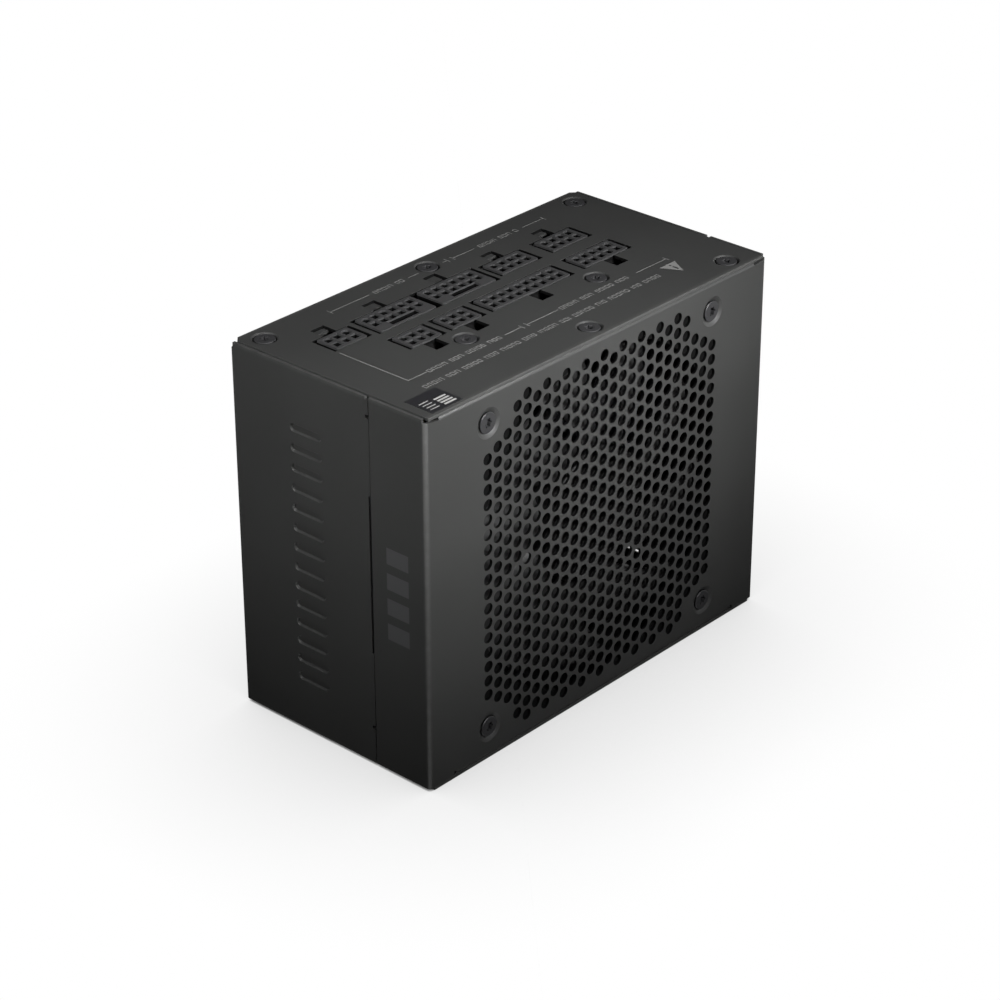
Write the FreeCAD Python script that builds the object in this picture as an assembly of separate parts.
import FreeCAD, Part
import math
import os

# Compact modular computer power supply, standing on its mains end wall.
# X is the width, Y runs from the fan face (low) to the label face (high), Z from the mains end to the sockets.

# ---- driving dimensions, mm ----
WIDTH = 125.0
DEPTH = 63.5
HEIGHT = 100.0
SHEET = 0.8
BEND = 1.0
STICKER = 0.1

SIDE = WIDTH / 2
FRONT = -DEPTH / 2
BACK = DEPTH / 2 - STICKER
PANEL_TOP = HEIGHT - STICKER
PANEL_LOW = PANEL_TOP - SHEET
WALL_TOP = HEIGHT - 0.3
INNER = SIDE - SHEET
BACK_IN = BACK - SHEET
FRONT_IN = FRONT + SHEET

SEAM = -14.1
FAN_Z = HEIGHT / 2
FAN_SIZE = 92.0
FAN_DEPTH = 15.0
FAN_BORE = 44.25
FAN_HOLE = 41.25
FAN_BACK = FRONT_IN + FAN_DEPTH
HUB_R = 18.0
HUB_FRONT = FRONT + 2.3
BLADES = 9
TIP_R = 43.0

HOLE_R = 1.5
HOLE_PITCH = 4.0
GRILLE_COUNTS = [17, 18, 19] + [22 + (n % 2) for n in range(19)] + [19, 18, 17]

BOARD = 1.6
MAIN_FACE = 26.4
MODULAR_TOP = 88.8
CONTACT = 3.0
SOCKET_RIM = 4.1
SOCKET_TALL = 7.1

INLET_X, INLET_Y = -36.5, 11.0
SWITCH_X, SWITCH_Y = 3.0, 13.5
ROCK_Z = 4.6

MOUNT_R = 1.75
MOUNT_HOLES = [(sx * 56.5, sy * 25.75) for sx in (-1, 1) for sy in (-1, 1)]
COLLAR_R, COLLAR_TOP = 2.9, 2.6


# ---- plain shapes ----
def block(x0, x1, y0, y1, z0, z1):
    return Part.makeBox(x1 - x0, y1 - y0, z1 - z0, FreeCAD.Vector(x0, y0, z0))


def slab(x, y, half_x, half_y, z0, z1):
    """Block centred on x, y."""
    return block(x - half_x, x + half_x, y - half_y, y + half_y, z0, z1)


def rod(axis, a, b, low, high, r):
    """Cylinder along axis; a and b are its centre in the other two axes, in X, Y, Z order."""
    places = {"x": (low, a, b), "y": (a, low, b), "z": (a, b, low)}
    ways = {"x": (1, 0, 0), "y": (0, 1, 0), "z": (0, 0, 1)}
    return Part.makeCylinder(r, high - low, FreeCAD.Vector(*places[axis]), FreeCAD.Vector(*ways[axis]))


def ring(axis, a, b, low, high, outer, inner):
    return rod(axis, a, b, low, high, outer).cut(rod(axis, a, b, low - 1, high + 1, inner))


def turned(points, base, way):
    """Solid of revolution: points are (radius, distance along way from base)."""
    wire = Part.makePolygon([FreeCAD.Vector(r, 0, d) for r, d in points + points[:1]])
    solid = Part.Face(wire).revolve(FreeCAD.Vector(0, 0, 0), FreeCAD.Vector(0, 0, 1), 360)
    if solid.Volume < 0:
        solid.reverse()
    turn = FreeCAD.Rotation(FreeCAD.Vector(0, 0, 1), FreeCAD.Vector(*way))
    solid.Placement = FreeCAD.Placement(FreeCAD.Vector(*base), turn)
    return solid


def prism(points, way):
    """Solid from a closed outline of 3-D points, pushed along way."""
    wire = Part.makePolygon([FreeCAD.Vector(*p) for p in points + points[:1]])
    return Part.Face(wire).extrude(FreeCAD.Vector(*way))


def joined(shapes):
    whole = shapes[0].fuse(shapes[1:]) if len(shapes) > 1 else shapes[0]
    return whole.removeSplitter()


def cut_all(shape, tools):
    return shape.cut(Part.makeCompound(tools))


def rounded(shape, axis, radius, keep=lambda p: True):
    """Fillets the edges that run along axis and whose middle point passes keep."""
    index = "xyz".index(axis)
    edges = []
    for e in shape.Edges:
        a, b = e.Vertexes[0].Point, e.Vertexes[-1].Point
        along = abs(a[index] - b[index])
        if along > 1e-6 and (a - b).Length - along < 1e-6 and keep((a + b) * 0.5):
            edges.append(e)
    return shape.makeFillet(radius, edges)


def channel(axis, x0, x1, y0, y1, z0, z1, wall_at):
    """Sheet bent three sides round, running along axis, with the middle wall at y1 (+1) or y0 (-1)."""
    wall_y = y1 if wall_at > 0 else y0

    def near_wall(p):
        return abs(p.y - wall_y) < 2 * SHEET

    outer = rounded(block(x0, x1, y0, y1, z0, z1), axis, BEND, near_wall)
    open_side = 5.0
    side = 0 if axis == "x" else SHEET
    tall = 0 if axis == "z" else SHEET
    low_y = y0 - open_side if wall_at > 0 else y0 + SHEET
    high_y = y1 - SHEET if wall_at > 0 else y1 + open_side
    inner = block(x0 + side, x1 - side, low_y, high_y, z0 + tall, z1 - tall)
    inner = rounded(inner, axis, BEND - SHEET, near_wall)
    return outer.cut(inner)


def path_tube(points, radius, bend):
    """Round wire along straight runs joined by tangent arcs."""
    p = [FreeCAD.Vector(*q) for q in points]
    edges = []
    start = p[0]
    for before, corner, after in zip(p, p[1:], p[2:]):
        u = (before - corner).normalize()
        v = (after - corner).normalize()
        half = u.getAngle(v) / 2
        reach = bend / math.tan(half)
        a = corner + u * reach
        b = corner + v * reach
        middle = (u + v).normalize()
        mid = corner + middle * (bend / math.sin(half) - bend)
        edges.append(Part.LineSegment(start, a).toShape())
        edges.append(Part.Arc(a, mid, b).toShape())
        start = b
    edges.append(Part.LineSegment(start, p[-1]).toShape())
    spine = Part.Wire(edges)
    ring_wire = Part.Wire(Part.Circle(p[0], p[1] - p[0], radius).toShape())
    return spine.makePipeShell([ring_wire], True, False)


def save(name, shapes):
    shapes = shapes if isinstance(shapes, list) else [shapes]
    shape = shapes[0] if len(shapes) == 1 else Part.makeCompound(shapes)
    shape.exportStep("parts/" + name + ".step")


# ---- sunk hexalobular screws and the pressed dimples they sit in ----
HEAD_R = 2.65
HEAD_SUNK = 0.12
SCREW_R, SCREW_LONG = 1.5, 3.7
DRIVE_R, LOBE_R, DRIVE_DEEP = 0.95, 0.3, 1.1
SINK = 1.45
GAP = 0.05
TAP_R = 1.6
TAP_DEEP = 3.6
NUT_R, NUT_TALL = 4.1, 1.9
FAN_MOUTH, FAN_WIDE = 3.95, 4.7
MOUTH, WIDE = 3.35, 3.95


def dimple_add(base, way, wide):
    return turned([(0, SHEET), (wide, SHEET), (wide - 0.95, SINK), (0, SINK)], base, way)


def nest_cut(base, way, wide):
    """Pocket in the sheet underneath, which takes the pressed back of a dimple."""
    low = SINK + GAP
    outer = wide + 0.1
    points = [(0, SHEET - 0.1), (outer, SHEET - 0.1), (outer, SHEET), (wide - 0.85, low), (0, low)]
    return turned(points, base, way)


def clinch_nut(base, way):
    near, far = SINK + GAP, SINK + GAP + NUT_TALL
    return turned([(TAP_R, near), (NUT_R, near), (NUT_R, far), (TAP_R, far)], base, way)


def tapped_bore(base, way):
    return turned([(0, 0), (TAP_R, 0), (TAP_R, TAP_DEEP), (0, TAP_DEEP)], base, way)


def dimple_cut(base, way, mouth):
    through = 1.55
    return turned([(0, -0.2), (mouth + 0.1, -0.2), (mouth, 0), (3.0, 0.45), (2.1, SINK), (2.1, through),
                   (0, through)], base, way)


def screw(base, way, shank_r, length):
    """Countersunk screw whose flat head lies just under the sheet's surface."""
    edge = HEAD_SUNK
    rim, neck, point = 0.42, 1.55, 0.5
    body = turned([(0, edge), (HEAD_R - edge, edge), (HEAD_R, 2 * edge), (HEAD_R, rim), (shank_r, neck),
                   (shank_r, length - point), (shank_r - point, length), (0, length)], base, way)
    lobes = [turned([(0, 0), (DRIVE_R, 0), (DRIVE_R, DRIVE_DEEP), (0, DRIVE_DEEP)], base, way)]
    turn = FreeCAD.Rotation(FreeCAD.Vector(0, 0, 1), FreeCAD.Vector(*way))
    for n in range(6):
        angle = n * math.pi / 3
        lobe = Part.makeCylinder(LOBE_R, DRIVE_DEEP, FreeCAD.Vector(math.cos(angle), math.sin(angle), 0))
        lobe.Placement = FreeCAD.Placement(FreeCAD.Vector(*base), turn)
        lobes.append(lobe)
    return body.cut(joined(lobes))


# ---- fan cover: fan face with its grille, side flanges and two tucked-in flanges ----
PANEL_FRONT_SCREWS = [(-52.6, -26.8), (0.1, -26.8), (52.7, -26.8)]
PANEL_BACK_SCREWS = [(-56.1, 26.3), (0.1, 26.3), (56.2, 26.3)]
MODULAR_SCREWS = [(-24.4, -9.25), (23.2, -9.25)]
END_SCREWS = [(-46.0, -26.6), (46.0, -26.6)]
FAN_SCREWS = [(sx * FAN_HOLE, FAN_Z + sz * FAN_HOLE) for sx in (-1, 1) for sz in (-1, 1)]


def grille_centres():
    spacing = HOLE_PITCH * math.sqrt(3) / 2
    for column, count in enumerate(GRILLE_COUNTS):
        x = (column - (len(GRILLE_COUNTS) - 1) / 2) * spacing
        for k in range(count):
            yield x, FAN_Z + (k - (count - 1) / 2) * HOLE_PITCH


def fan_cover():
    flange_end = -21.5
    top_half, low_half, relief = 57.8, 53.3, 0.6
    bend_low = PANEL_LOW - BEND
    corner_top = 98.9
    face = channel("z", -SIDE, SIDE, FRONT, SEAM, SHEET, corner_top, -1)
    face = cut_all(face, [
        block(-top_half, top_half, FRONT - 1, FRONT_IN + 0.5, bend_low, HEIGHT),
        block(-low_half - relief, low_half + relief, FRONT - 1, FRONT_IN + 0.5, 0, 2.0)])
    lips = channel("x", -top_half, top_half, FRONT, flange_end, SHEET, PANEL_LOW, -1)
    middle = block(-top_half, top_half, FRONT_IN, SEAM, 2.0, bend_low)
    ends = [block(s * top_half if s < 0 else low_half, -low_half if s < 0 else top_half,
                  FRONT - 1, SEAM, 0, 2.0) for s in (-1, 1)]
    lips = cut_all(lips, [middle] + ends)
    crowns = [block(x0, x0 + SHEET, FRONT + BEND, SEAM, corner_top, WALL_TOP) for x0 in (-SIDE, INNER)]
    notch = [prism([(s * top_half, FRONT - 1, 98.2), (s * 62.0, FRONT - 1, corner_top - 0.1),
                    (s * 62.0, FRONT - 1, 99.6), (s * top_half, FRONT - 1, 99.6)], (0, 1 + SHEET + 0.4, 0))
             for s in (-1, 1)]
    cover = cut_all(joined([face, lips] + crowns), notch)
    cover = joined([cover] + [dimple_add((x, FRONT, z), (0, 1, 0), FAN_WIDE) for x, z in FAN_SCREWS])
    fixings = [((x, y, PANEL_TOP), (0, 0, -1)) for x, y in PANEL_FRONT_SCREWS]
    fixings += [((x, y, 0), (0, 0, 1)) for x, y in END_SCREWS]
    tools = [dimple_cut((x, FRONT, z), (0, 1, 0), FAN_MOUTH) for x, z in FAN_SCREWS]
    tools += [nest_cut(base, way, WIDE) for base, way in fixings]
    cover = joined([cut_all(cover, tools)] + [clinch_nut(base, way) for base, way in fixings])
    bores = [tapped_bore(base, way) for base, way in fixings]
    holes = [rod("y", x, z, FRONT - 1, FRONT_IN + 1, HOLE_R) for x, z in grille_centres()]
    return cut_all(cover, bores + holes)


# ---- base shell: label face, two long side walls, mains end wall and a tucked-in top flange ----
VENT_COLUMNS, VENT_ROWS = 11, 9
VENT_X, VENT_Y = 18.5, 0.5


def end_wall_vents():
    spacing = HOLE_PITCH * math.sqrt(3) / 2
    for column in range(VENT_COLUMNS):
        count = VENT_ROWS + column % 2
        for row in range(count):
            yield VENT_X + column * spacing, VENT_Y + (row - (count - 1) / 2) * HOLE_PITCH


RECESS = (9.4, 12.6, 3.4)
SWITCH_CUT = (6.5, 9.6)
# Plain pressed bars on the left wall: two groups, read from the top, each entry a bar's middle height.
PRESSED_DEEP = 0.5
PRESSED_SLOPE = 0.4
PRESSED_TALL = 2.3
PRESSED_SPAN = (1.75, 12.2)
PRESSED_AT = [84.9 - PRESSED_TALL / 2 - n * 5.35 for n in range(8)]
PRESSED_AT += [42.2 - PRESSED_TALL / 2 - n * 5.1 for n in range(6)]
INLET_CUT = (13.6, 9.9)
INLET_FIX = 20.0
# Side seam: laps that reach the cover, tabs tucked behind it, the long gap between the laps, and the notches.
LAPS = [(11.4, 31.6), (74.1, 94.1)]
TABS = [(12.0, 31.0), (33.0, 73.0), (75.0, 93.5)]
SEAM_GAP = (31.6, 74.1)
NOTCHES = [10.3, 94.2, 99.0]
LAP_GAP = 0.18


def pressed_bar(z):
    """Round-ended groove across the left wall, with sloping sides."""
    low, high = PRESSED_SPAN
    half = PRESSED_TALL / 2
    rows = []
    for x, shrink in ((-SIDE - 0.01, 0.0), (-SIDE + PRESSED_DEEP, PRESSED_SLOPE)):
        r = half - shrink
        a, b = low + half, high - half
        v = FreeCAD.Vector
        rows.append(Part.Wire([Part.makeLine(v(x, a, z - r), v(x, b, z - r)),
                               Part.Arc(v(x, b, z - r), v(x, b + r, z), v(x, b, z + r)).toShape(),
                               Part.makeLine(v(x, b, z + r), v(x, a, z + r)),
                               Part.Arc(v(x, a, z + r), v(x, a - r, z), v(x, a, z - r)).toShape()]))
    return Part.makeLoft(rows, True, True)


def base_shell():
    bend_low = PANEL_LOW - BEND
    walls = channel("z", -SIDE, SIDE, SEAM + 0.3, BACK, SHEET, bend_low, 1)
    ends = channel("x", -60.75, 60.75, FRONT + 0.15, BACK, 0, PANEL_LOW, 1)
    ends = ends.cut(block(-70, 70, FRONT - 1, 19.5, 50, HEIGHT))
    crowns = [block(x0, x0 + SHEET, SEAM + 0.3, BACK - BEND, bend_low, WALL_TOP) for x0 in (-SIDE, INNER)]
    shell = joined([walls, ends] + crowns)
    pieces, cuts = [], []
    for s in (-1, 1):
        low, high = (s * SIDE, s * INNER) if s < 0 else (INNER, SIDE)
        tab_low, tab_high = (s * INNER, s * (INNER - SHEET)) if s < 0 else (INNER - SHEET, INNER)
        pieces += [block(low, high, SEAM + LAP_GAP, SEAM + 1, z0, z1) for z0, z1 in LAPS]
        pieces += [block(tab_low, tab_high, SEAM - 3.5, SEAM + 2.5, z0, z1) for z0, z1 in TABS]
        cuts += [block(low, high, SEAM, SEAM + 0.75, *SEAM_GAP)]
        cuts += [block(low, high, SEAM, SEAM + 1.2, z0, z0 + 1.0) for z0 in NOTCHES]
    shell = joined([cut_all(shell, cuts)] + pieces)
    shell = cut_all(shell, [pressed_bar(z) for z in PRESSED_AT])
    half_x, half_y, deep = RECESS
    shell = shell.cut(slab(SWITCH_X, SWITCH_Y, half_x, half_y, -1, 1))
    dish = slab(SWITCH_X, SWITCH_Y, half_x + SHEET, half_y + SHEET, 0, deep + SHEET)
    dish = dish.cut(slab(SWITCH_X, SWITCH_Y, half_x, half_y, -1, deep))
    shell = joined([shell, dish])
    shell = joined([shell] + [dimple_add((x, y, 0), (0, 0, 1), WIDE) for x, y in END_SCREWS])
    tools = [slab(SWITCH_X, SWITCH_Y, *SWITCH_CUT, 0, deep + 2),
             rounded(slab(INLET_X, INLET_Y, *INLET_CUT, -1, 2), "z", 2.0)]
    tools += [dimple_cut((x, y, 0), (0, 0, 1), MOUTH) for x, y in END_SCREWS]
    tools += [turned([(0, -1), (4.2, -1), (3.2, 0), (2.2, 1.0), (0, 1.0)],
                     (INLET_X + s * INLET_FIX, INLET_Y, 0), (0, 0, 1)) for s in (-1, 1)]
    fixings = [((x, y, PANEL_TOP), (0, 0, -1)) for x, y in PANEL_BACK_SCREWS]
    tools += [nest_cut(base, way, WIDE) for base, way in fixings]
    tools += [rod("z", x, y, -1, 2, HOLE_R) for x, y in end_wall_vents()]
    tools += [rod("z", x, y, -1, 4, MOUNT_R) for x, y in MOUNT_HOLES]
    shell = joined([cut_all(shell, tools)] + [clinch_nut(base, way) for base, way in fixings])
    shell = cut_all(shell, [tapped_bore(base, way) for base, way in fixings])
    collars = [ring("z", x, y, SHEET, COLLAR_TOP, COLLAR_R, MOUNT_R) for x, y in MOUNT_HOLES]
    return joined([shell] + collars)


# ---- connector panel and the sockets behind it ----
# name, columns, centre x, centre y of the contact rows, latch side
SOCKETS = [
    ("socket_6_left_upper", 3, -44.0, 12.6, 1),
    ("socket_12_left", 6, -25.5, 13.75, 1),
    ("socket_12_right", 6, -4.0, 13.75, 1),
    ("socket_8_left", 4, 15.7, 12.6, 1),
    ("socket_8_right", 4, 34.9, 12.6, 1),
    ("socket_6_left_lower", 3, -31.4, 0.1, -1),
    ("socket_6_middle_lower", 3, -17.3, 0.1, -1),
    ("socket_18", 9, 6.1, 0.1, -1),
    ("socket_10", 5, 34.2, 0.1, -1),
]
WINDOW_HALF = 2.2
WINDOW_TALL = 4.4


def socket_box(columns, x, y):
    """Low and high corner of a socket's face in X and Y; the 12-way ones carry a slot under their contacts."""
    half = (CONTACT * (columns - 1) + SOCKET_RIM) / 2
    extra = 2.1 if columns == 6 else 0.0
    return x - half, x + half, y - SOCKET_TALL / 2 - extra, y + SOCKET_TALL / 2


def socket_opening(columns, x, y):
    x0, x1, y0, y1 = socket_box(columns, x, y)
    return x0 - 1.2, x1 + 1.2, y0 - 0.45, y1 + 0.45


def connector_panel():
    half, back, chamfer = 61.3, 31.5, 1.3
    plate = prism([(-half, FRONT, PANEL_LOW), (half, FRONT, PANEL_LOW), (half, back - chamfer, PANEL_LOW),
                   (half - chamfer, back, PANEL_LOW), (chamfer - half, back, PANEL_LOW),
                   (-half, back - chamfer, PANEL_LOW)], (0, 0, SHEET))
    centres = PANEL_FRONT_SCREWS + PANEL_BACK_SCREWS + MODULAR_SCREWS
    plate = joined([plate] + [dimple_add((x, y, PANEL_TOP), (0, 0, -1), WIDE) for x, y in centres])
    tools = [dimple_cut((x, y, PANEL_TOP), (0, 0, -1), MOUTH) for x, y in centres]
    for name, columns, x, y, latch in SOCKETS:
        x0, x1, y0, y1 = socket_opening(columns, x, y)
        tools.append(block(x0, x1, y0, y1, PANEL_LOW - 1, HEIGHT))
        w0, w1 = (y1 - 0.1, y1 + WINDOW_TALL) if latch > 0 else (y0 - WINDOW_TALL - 0.2, y0 + 0.1)
        tools.append(block(x - WINDOW_HALF, x + WINDOW_HALF, w0, w1, PANEL_LOW - 1, HEIGHT))
    return plate.cut(joined(tools))


CAVITY = 2.3
PIN_HALF, PIN_TOP = 0.4, 97.2
RAMP_HALF = 1.7
CAVITY_FLOOR = MODULAR_TOP + 2.0


def contact_places(columns, x, y):
    for n in range(columns):
        for row in (-0.5, 0.5):
            yield x + (n - (columns - 1) / 2) * CONTACT, y + row * CONTACT


def socket_body(columns, x, y, latch):
    x0, x1, y0, y1 = socket_box(columns, x, y)
    body = rounded(block(x0, x1, y0, y1, MODULAR_TOP, HEIGHT), "z", 0.4)
    h = CAVITY / 2
    tools = []
    for n, (cx, cy) in enumerate(contact_places(columns, x, y)):
        hole = slab(cx, cy, h, h, CAVITY_FLOOR, HEIGHT + 1)
        if (n // 2 + n) % 2:
            outward = 1 if cy > y else -1
            hole = hole.makeChamfer(0.6, [e for e in hole.Edges
                                          if abs(e.Vertexes[0].Z - e.Vertexes[-1].Z) > 1
                                          and (e.Vertexes[0].Y - cy) * outward > 0])
        tools.append(hole)
        tools.append(slab(cx, cy, 0.45, 0.45, MODULAR_TOP - 1, CAVITY_FLOOR + 1))
    if columns == 6:
        tools.append(block(x - 4.9, x + 4.9, y0 + 0.7, y0 + 2.95, CAVITY_FLOOR, HEIGHT + 1))
    body = body.cut(joined(tools))
    wall = y1 if latch > 0 else y0
    side = [(-0.1, 94.5), (1.5, 94.9), (1.5, 95.8), (0, 98.6), (-0.1, 98.6)]
    ramp = prism([(x - RAMP_HALF, wall + out * latch, z) for out, z in side], (2 * RAMP_HALF, 0, 0))
    return joined([body, ramp])


def socket_pin(cx, cy):
    pin = slab(cx, cy, PIN_HALF, PIN_HALF, MODULAR_TOP - BOARD - 1.6, PIN_TOP)
    return pin.makeChamfer(0.15, [e for e in pin.Edges if e.BoundBox.ZMin > PIN_TOP - 0.01])


# ---- boards ----
POSTS = [(-54.0, 34.0), (54.0, 34.0), (-54.0, 80.0), (54.0, 80.0)]
POST_ACROSS, POST_BORE = 5.5, 1.6
BUS_BARS = [-12.0, 0.0, 12.0, 24.0, 36.0, 48.0]


def main_board():
    board = block(-59.5, 59.5, MAIN_FACE, MAIN_FACE + BOARD, 6.0, 85.0)
    return cut_all(board, [rod("y", x, z, 0, 40, 1.75) for x, z in POSTS])


def modular_board():
    board = block(-58.0, 58.0, -15.0, 24.5, MODULAR_TOP - BOARD, MODULAR_TOP)
    tools = [rod("z", x, y, 80, 95, 1.7) for x, y in MODULAR_SCREWS]
    for name, columns, x, y, latch in SOCKETS:
        tools += [slab(cx, cy, 0.55, 0.55, 80, 95) for cx, cy in contact_places(columns, x, y)]
    tools += [block(x - 2.2, x + 2.2, 20.0, 21.6, 80, 95) for x in BUS_BARS]
    return cut_all(board, tools)


def insulation_sheet():
    film = block(-60.5, 60.5, BACK_IN - 0.5, BACK_IN - 0.25, 4.4, 86.0)
    return cut_all(film, [rod("y", x, z, 20, 40, 3.4) for x, z in POSTS])


def hex_post(base, way, length):
    corner = POST_ACROSS / math.sqrt(3)
    angles = [n * math.pi / 3 for n in range(6)]
    post = prism([(corner * math.cos(a), corner * math.sin(a), 0) for a in angles], (0, 0, length))
    post = post.cut(Part.makeCylinder(POST_BORE, length))
    turn = FreeCAD.Rotation(FreeCAD.Vector(0, 0, 1), FreeCAD.Vector(*way))
    post.Placement = FreeCAD.Placement(FreeCAD.Vector(*base), turn)
    return post


def pan_screw(base, way, shank_r, length):
    """Pan-head screw: base is under its head, way is the direction of its shank."""
    tall, shoulder, wide = 1.7, 0.9, 2.7
    body = turned([(0, -tall), (1.6, -tall), (wide, -shoulder), (wide, 0), (shank_r, 0), (shank_r, length),
                   (0, length)], base, way)
    return body.cut(turned([(0, -tall - 1), (0.7, -tall - 1), (0.7, -shoulder), (0, -shoulder)], base, way))


# ---- mains inlet, switch and the small filter board behind them ----
INLET_PINS = [(INLET_X + dx, INLET_Y + dy) for dx, dy in ((-7.0, -1.0), (0.0, 2.6), (7.0, -1.0))]
BLADE_X, BLADE_Y = 1.0, 2.0
PIN_TIP = 5.5
FILTER_Z = 24.0


def inlet_body():
    half_x, half_y, corner = 12.0, 8.0, 4.0
    shroud = rounded(slab(INLET_X, INLET_Y, 13.3, 9.6, 0.2, 22.0), "z", 1.9)
    flange = rounded(slab(INLET_X, INLET_Y, 24.0, 11.2, SHEET, 3.0), "z", 3.0)
    low, high = INLET_Y - half_y, INLET_Y + half_y
    left, right = INLET_X - half_x, INLET_X + half_x
    mouth = prism([(left, low, -1), (right, low, -1), (right, high - corner, -1), (right - corner, high, -1),
                   (left + corner, high, -1), (left, high - corner, -1)], (0, 0, 18.0))
    slots = [slab(x, y, BLADE_X, BLADE_Y, 10, 30) for x, y in INLET_PINS]
    holes = [turned([(0, 0), (2.6, 0), (2.6, SHEET), (1.7, 1.6), (1.7, 5.0), (0, 5.0)],
                    (INLET_X + s * INLET_FIX, INLET_Y, 0), (0, 0, 1)) for s in (-1, 1)]
    return cut_all(joined([shroud, flange]), [mouth] + slots + holes)


def inlet_pins():
    pins = []
    for x, y in INLET_PINS:
        pin = slab(x, y, BLADE_X, BLADE_Y, PIN_TIP, 27.0)
        pins.append(pin.makeChamfer(0.5, [e for e in pin.Edges if e.BoundBox.ZMax < PIN_TIP + 0.01]))
    return pins


def inlet_screws():
    heads = []
    for s in (-1, 1):
        base, way = (INLET_X + s * INLET_FIX, INLET_Y, 0), (0, 0, 1)
        body = turned([(0, 0.12), (2.9, 0.12), (1.5, 1.3), (1.5, 6.5), (0, 6.5)], base, way)
        cross = [block(base[0] - a, base[0] + a, base[1] - b, base[1] + b, 0, 0.9)
                 for a, b in ((1.5, 0.25), (0.25, 1.5))]
        heads.append(body.cut(joined(cross)))
    return heads


def inlet_nuts():
    return [hex_post((INLET_X + s * INLET_FIX, INLET_Y, 3.0), (0, 0, 1), 2.4) for s in (-1, 1)]


def filter_board():
    board = block(INLET_X - 17.0, INLET_X + 17.0, 3.5, 23.5, FILTER_Z, FILTER_Z + BOARD)
    return cut_all(board, [slab(x, y, BLADE_X + 0.1, BLADE_Y + 0.1, 20, 30) for x, y in INLET_PINS])


BEZEL_LOW = 1.8
TAB_HALF = (2.4, 0.4)
TERMINALS = [SWITCH_Y - 5.0, SWITCH_Y + 5.0]
ROCK_ANGLE = 8.0


def switch_body():
    deep = RECESS[2]
    bezel = rounded(slab(SWITCH_X, SWITCH_Y, 7.6, 10.7, BEZEL_LOW, deep), "z", 1.0)
    body = slab(SWITCH_X, SWITCH_Y, 6.35, 9.45, deep - 0.2, 17.0)
    hollow = slab(SWITCH_X, SWITCH_Y, 5.2, 8.7, 0, 11.5)
    bores = rod("x", SWITCH_Y, ROCK_Z, SWITCH_X - 6.1, SWITCH_X + 6.1, 1.0)
    slots = [slab(SWITCH_X, y, *TAB_HALF, 10, 30) for y in TERMINALS]
    return cut_all(joined([bezel, body]), [hollow, bores] + slots)


def switch_terminals():
    return [slab(SWITCH_X, y, *TAB_HALF, 12.6, 23.0) for y in TERMINALS]


def rocker():
    half = 4.9
    side = [(-7.8, -3.2), (0, -2.1), (7.8, -3.2), (7.5, 0.6), (3.0, 4.0), (-3.0, 4.0), (-7.5, 0.6)]
    cap = prism([(SWITCH_X - half, SWITCH_Y + y, ROCK_Z + z) for y, z in side], (2 * half, 0, 0))
    cap = cap.makeFillet(0.5, [e for e in cap.Edges if e.BoundBox.ZMax < ROCK_Z - 2.0])
    pivots = rod("x", SWITCH_Y, ROCK_Z, SWITCH_X - 5.9, SWITCH_X + 5.9, 0.93)
    cap = joined([cap, pivots])
    cap.rotate(FreeCAD.Vector(SWITCH_X, SWITCH_Y, ROCK_Z), FreeCAD.Vector(1, 0, 0), -ROCK_ANGLE)
    return cap


# ---- cooling fan ----
HUB_BACK = -19.2
MOUNT_FACE = -18.0
SHAFT_R = 1.5
SLEEVE_R = 3.0
COIL_FRONT, COIL_BACK = -26.0, -19.4
# Blade sections: distance from the axis, angle the blade covers there, angle of its leading edge.
BLADE_STATIONS = [(15.5, 33.0, 133.5), (24.0, 34.0, 143.0), (33.0, 33.0, 151.5), (44.0, 31.0, 162.0)]
BLADE_THICK = 1.5


def fan_frame():
    half = FAN_SIZE / 2
    body = rounded(block(-half, half, FRONT_IN, FAN_BACK, FAN_Z - half, FAN_Z + half), "y", 4.0)
    flare, far = FAN_BORE + 1.2, FAN_DEPTH + 0.1
    mouth = turned([(0, -0.1), (flare, -0.1), (FAN_BORE, 2.2), (FAN_BORE, 12.8), (flare, far), (0, far)],
                   (0, FRONT_IN, FAN_Z), (0, 1, 0))
    body = body.cut(mouth)
    plate = rod("y", 0, FAN_Z, MOUNT_FACE, FAN_BACK, 17.0)
    arms = []
    for n in range(4):
        arm = block(15.0, FAN_BORE + 2.4, MOUNT_FACE, FAN_BACK, FAN_Z - 1.6, FAN_Z + 1.6)
        arm.rotate(FreeCAD.Vector(0, 0, FAN_Z), FreeCAD.Vector(0, 1, 0), 22 + 90 * n)
        arms.append(arm)
    body = joined([body, plate] + arms)
    tools = [rod("y", x, z, FRONT, FAN_BACK + 1, 2.2) for x, z in FAN_SCREWS]
    tools += [rod("y", x, z, FRONT, FRONT_IN + 0.8, 5.0) for x, z in FAN_SCREWS]
    tools.append(rod("y", 0, FAN_Z, MOUNT_FACE - 1, FAN_BACK - 0.6, SLEEVE_R))
    return cut_all(body, tools)


def bearing_sleeve():
    return ring("y", 0, FAN_Z, -27.4, FAN_BACK - 0.6, SLEEVE_R, SHAFT_R + GAP)


def fan_shaft():
    return rod("y", 0, FAN_Z, HUB_FRONT + 0.6, FAN_BACK - 1.0, SHAFT_R)


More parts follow.
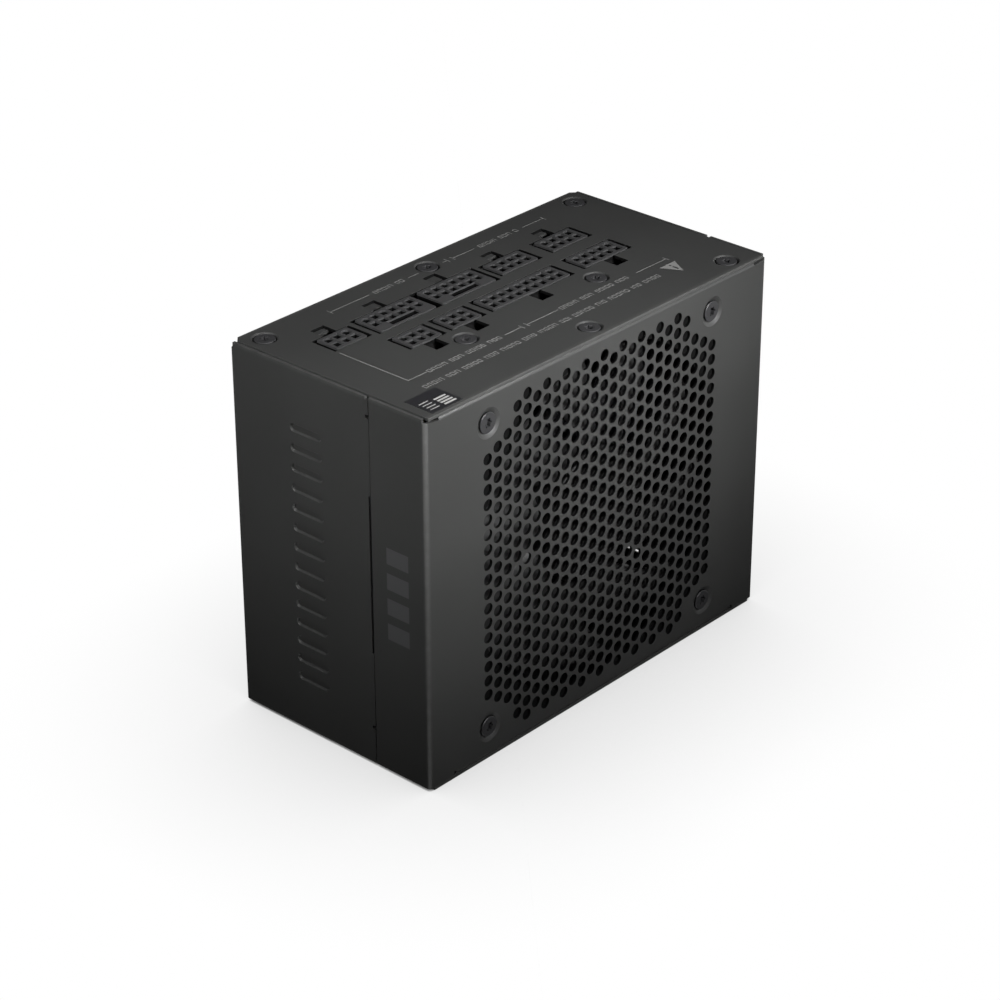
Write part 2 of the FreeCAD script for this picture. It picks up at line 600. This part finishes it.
def fan_stator():
    parts = [ring("y", 0, FAN_Z, COIL_FRONT, COIL_BACK, 5.0, SLEEVE_R)]
    for n in range(4):
        arm = block(4.5, 13.0, COIL_FRONT + 1.5, COIL_BACK - 1.5, FAN_Z - 1.8, FAN_Z + 1.8)
        shoe = block(12.0, 13.6, COIL_FRONT + 0.8, COIL_BACK - 0.8, FAN_Z - 6.0, FAN_Z + 6.0)
        shoe = shoe.common(rod("y", 0, FAN_Z, COIL_FRONT, COIL_BACK, 14.2))
        pole = arm.fuse(shoe)
        pole.rotate(FreeCAD.Vector(0, 0, FAN_Z), FreeCAD.Vector(0, 1, 0), 90 * n)
        parts.append(pole)
    return joined(parts)


def fan_circuit_board():
    return ring("y", 0, FAN_Z, MOUNT_FACE - 1.0, MOUNT_FACE, 15.0, 3.1)


def magnet_ring():
    return ring("y", 0, FAN_Z, -27.6, HUB_BACK + 0.1, 16.5, 15.0)


def blade_section(reach, span, front_angle, low, high, thick):
    """Closed curve of one blade at one distance from the axis, before it is turned to its angle."""
    half = reach * math.tan(math.radians(span / 2))
    lean = math.radians(front_angle - span / 2)
    out = FreeCAD.Vector(math.cos(lean), 0, math.sin(lean))
    along = FreeCAD.Vector(-math.sin(lean), 0, math.cos(lean))
    centre = FreeCAD.Vector(0, 0, FAN_Z) + out * reach
    front, back = [], []
    for step in range(7):
        t = step / 6
        bow = 1.5 * math.sin(math.pi * t)
        y = low + (high - low) * (1 - t)
        body = 0.5 * thick * (0.35 + 0.65 * math.sin(math.pi * (0.15 + 0.7 * t)))
        place = centre + along * (half * (2 * t - 1))
        front.append(place + FreeCAD.Vector(0, y - bow - body, 0))
        back.append(place + FreeCAD.Vector(0, y - bow + body, 0))
    top = Part.BSplineCurve()
    top.interpolate(front)
    low_curve = Part.BSplineCurve()
    low_curve.interpolate(back)
    return Part.Wire([top.toShape(), Part.makeLine(front[-1], back[-1]),
                      low_curve.toShape(), Part.makeLine(back[0], front[0])])


def fan_rotor():
    cup = rod("y", 0, FAN_Z, HUB_FRONT, HUB_BACK, HUB_R)
    rim = [e for e in cup.Edges if abs(e.BoundBox.YMax - HUB_FRONT) < 0.01 and e.Length > 50]
    cup = cup.makeFillet(1.0, rim)
    cup = cup.cut(rod("y", 0, FAN_Z, -27.8, 0, HUB_R - 1.5))
    cup = joined([cup, rod("y", 0, FAN_Z, -28.5, -27.6, 4.0)])
    cup = cup.cut(rod("y", 0, FAN_Z, HUB_FRONT + 0.6, 0, SHAFT_R))
    sections = [blade_section(reach, span, angle, HUB_FRONT + 2.4, HUB_BACK - 0.9, BLADE_THICK)
                for reach, span, angle in BLADE_STATIONS]
    blade = Part.makeLoft(sections, True, False)
    blade = blade.common(ring("y", 0, FAN_Z, HUB_FRONT - 3, HUB_BACK + 3, TIP_R, HUB_R - 0.8))
    blades = []
    for n in range(BLADES):
        copy = blade.copy()
        copy.rotate(FreeCAD.Vector(0, 0, FAN_Z), FreeCAD.Vector(0, 1, 0), n * 360.0 / BLADES)
        blades.append(copy)
    return joined([cup] + blades)


# ---- power parts on the main board ----
# Centres are in X and Z; each part stands on the board's fan side and ends at its own y.
FILTER_CHOKES = [(-43.0, 36.0), (-22.5, 36.0)]
PFC_CHOKE = (-43.5, 58.0)
BULK, BULK_END = (-15.5, 62.0), -9.0
TRANSFORMER = (22.5, 58.0)
STANDBY = (26.0, 33.0)
CAPACITORS = [(8.5, 76.2), (17.5, 76.2), (26.5, 76.2), (35.5, 76.2), (44.5, 76.2), (40.0, 31.0), (46.0, 22.0)]
CAPACITOR_END = 13.0
SINK_FINS = [40.0, 46.0, 52.0, 58.0, 64.0, 70.3]


def toroid(centre, low, high, outer, inner):
    body = ring("y", *centre, low, high, outer, inner)
    return body.makeFillet(1.8, [e for e in body.Edges if len(e.Vertexes) == 1])


def end_fillet(can, radius, end):
    """Rounds the rim of a can at its free end."""
    return can.makeFillet(radius, [e for e in can.Edges if abs(e.BoundBox.YMax - end) < 0.01])


def bulk_capacitor():
    groove = ring("y", *BULK, 21.0, 22.2, 15.0, 13.3)
    return end_fillet(rod("y", *BULK, BULK_END, MAIN_FACE, 14.0).cut(groove), 1.0, BULK_END)


def transformer_core():
    x, z = TRANSFORMER
    core = block(x - 16, x + 16, -4.0, 24.0, z - 12, z + 12).cut(rod("y", x, z, 0, 20, 13.3))
    return joined([core, rod("y", x, z, -0.5, 20.5, 5.0)])


def standby_transformer():
    x, z = STANDBY
    core = block(x - 8, x + 8, 11.0, 25.0, z - 7, z + 7).cut(block(x - 9, x + 9, 13.6, 22.4, z - 4.2, z + 4.2))
    coil = rounded(block(x - 7, x + 7, 14.0, 22.0, z - 8.4, z + 8.4), "z", 2.0)
    return joined([core, coil, block(x - 7, x + 7, 22.0, MAIN_FACE, z - 6, z + 6)])


def primary_heatsink():
    plate = block(-50.0, -27.0, 0.0, MAIN_FACE, 76.6, 79.0)
    return joined([plate, block(-50.0, -27.0, -3.0, 0.0, 73.0, 82.6)])


def secondary_heatsink():
    base = block(41.0, 43.0, 0.0, MAIN_FACE, 40.0, 71.5)
    return joined([base] + [block(43.0, 49.5, 0.0, MAIN_FACE, z, z + 1.2) for z in SINK_FINS])


def output_capacitors():
    cans = [rod("y", x, z, CAPACITOR_END, MAIN_FACE, 4.0) for x, z in CAPACITORS]
    return [end_fillet(can, 0.5, CAPACITOR_END) for can in cans]


def bus_bars():
    return [joined([block(x - 2.0, x + 2.0, 20.2, 21.4, 81.5, MODULAR_TOP + 0.8),
                    block(x - 2.0, x + 2.0, 21.0, MAIN_FACE, 81.5, 82.7)]) for x in BUS_BARS]


def mains_wires():
    radius, bend = 0.9, 2.6
    runs = []
    for n, y in enumerate(TERMINALS):
        turn_x = SWITCH_X - 12.4 - 3.0 * n
        runs.append(path_tube([(SWITCH_X, y, 23.0), (SWITCH_X, y, 29.0), (turn_x, y, 27.6 + 1.5 * n),
                               (INLET_X + 19.5, 5.5 + 5.0 * n, 21.0 - 2.0 * n)], radius, bend))
    return runs


def fan_lead():
    radius, bend = 1.1, 3.4
    return path_tube([(38.0, -14.6, 10.0), (47.0, -14.6, 10.0), (52.0, -8.0, 12.0), (52.0, 10.0, 13.0),
                      (52.0, 20.0, 13.0)], radius, bend)


def fan_plug():
    return joined([block(48.5, 55.5, 22.4, MAIN_FACE, 10.0, 16.0), block(49.0, 55.0, 20.0, 22.4, 10.8, 15.2)])


# ---- write every piece ----
os.makedirs("parts", exist_ok=True)

save("fan_cover", fan_cover())
save("base_shell", base_shell())
save("connector_panel", connector_panel())
save("seal_sticker", block(-58.8, -48.75, -30.75, -22.0, PANEL_TOP, HEIGHT))
save("rating_label", block(-46.0, 46.0, BACK, DEPTH / 2, 18.0, 82.0))
save("insulation_sheet", insulation_sheet())
save("main_board", main_board())
save("modular_board", modular_board())
for name, columns, x, y, latch in SOCKETS:
    save(name, socket_body(columns, x, y, latch))
save("socket_pins", [socket_pin(cx, cy) for name, columns, x, y, latch in SOCKETS
                     for cx, cy in contact_places(columns, x, y)])

down, up, inward = (0, 0, -1), (0, 0, 1), (0, 1, 0)
panel_screws = PANEL_FRONT_SCREWS + PANEL_BACK_SCREWS
board_gap = BACK_IN - MAIN_FACE - BOARD
panel_gap = PANEL_TOP - SINK - GAP - MODULAR_TOP
save("panel_screws", [screw((x, y, PANEL_TOP), down, SCREW_R, SCREW_LONG) for x, y in panel_screws])
save("modular_board_screws", [screw((x, y, PANEL_TOP), down, SCREW_R, 8.0) for x, y in MODULAR_SCREWS])
save("end_wall_screws", [screw((x, y, 0), up, SCREW_R, SCREW_LONG) for x, y in END_SCREWS])
save("fan_screws", [screw((x, FRONT, z), inward, 1.9, 10.0) for x, z in FAN_SCREWS])
save("main_board_screws", [pan_screw((x, MAIN_FACE, z), inward, SCREW_R, 4.0) for x, z in POSTS])
save("board_posts", [hex_post((x, MAIN_FACE + BOARD, z), inward, board_gap) for x, z in POSTS])
save("modular_posts", [hex_post((x, y, MODULAR_TOP), up, panel_gap) for x, y in MODULAR_SCREWS])

save("inlet_body", inlet_body())
save("inlet_pins", inlet_pins())
save("inlet_screws_and_nuts", inlet_screws() + inlet_nuts())
save("switch_body", switch_body())
save("switch_terminals", switch_terminals())
save("rocker", rocker())
save("filter_board", filter_board())
save("filter_capacitors", [rod("x", 8.0, FILTER_Z + BOARD + 4.2, x, x + 3.2, 4.2) for x in (-48.0, -38.0)])
save("fuse", rod("x", 5.6, FILTER_Z + BOARD + 2.0, -31.5, -21.5, 2.0))
save("mains_wires", mains_wires())

save("fan_frame", fan_frame())
save("fan_circuit_board", fan_circuit_board())
save("fan_stator", fan_stator())
save("bearing_sleeve", bearing_sleeve())
save("fan_rotor", fan_rotor())
save("magnet_ring", magnet_ring())
save("fan_shaft", fan_shaft())
save("fan_lead", fan_lead())
save("fan_plug", fan_plug())

save("common_mode_chokes", [toroid(place, 13.5, MAIN_FACE, 8.5, 3.0) for place in FILTER_CHOKES])
save("x_capacitor", rounded(block(-8.0, 2.5, 11.0, MAIN_FACE, 30.0, 47.0), "y", 1.0))
save("bridge_rectifier", block(-49.0, -33.0, 6.0, MAIN_FACE, 72.6, 76.5))
save("pfc_choke", toroid(PFC_CHOKE, 4.0, MAIN_FACE, 13.0, 4.5))
save("pfc_transistors", [block(x, x + 10.0, 8.0, 24.0, 79.1, 83.6) for x in (-49.0, -37.5)])
save("primary_heatsink", primary_heatsink())
save("bulk_capacitor", bulk_capacitor())
save("transformer_core", transformer_core())
save("transformer_winding", toroid(TRANSFORMER, 0.4, 19.6, 13.0, 5.3))
save("resonant_capacitor", rounded(block(6.5, 14.5, 13.0, MAIN_FACE, 27.0, 42.0), "y", 1.0))
save("standby_transformer", standby_transformer())
save("secondary_heatsink", secondary_heatsink())
save("output_capacitors", output_capacitors())
save("converter_boards", [block(x, x + 1.2, 4.0, MAIN_FACE, 40.0, 74.0) for x in (51.5, 56.5)])
save("control_board", block(1.5, 2.7, 6.0, MAIN_FACE, 50.0, 80.0))
save("bus_bars", bus_bars())
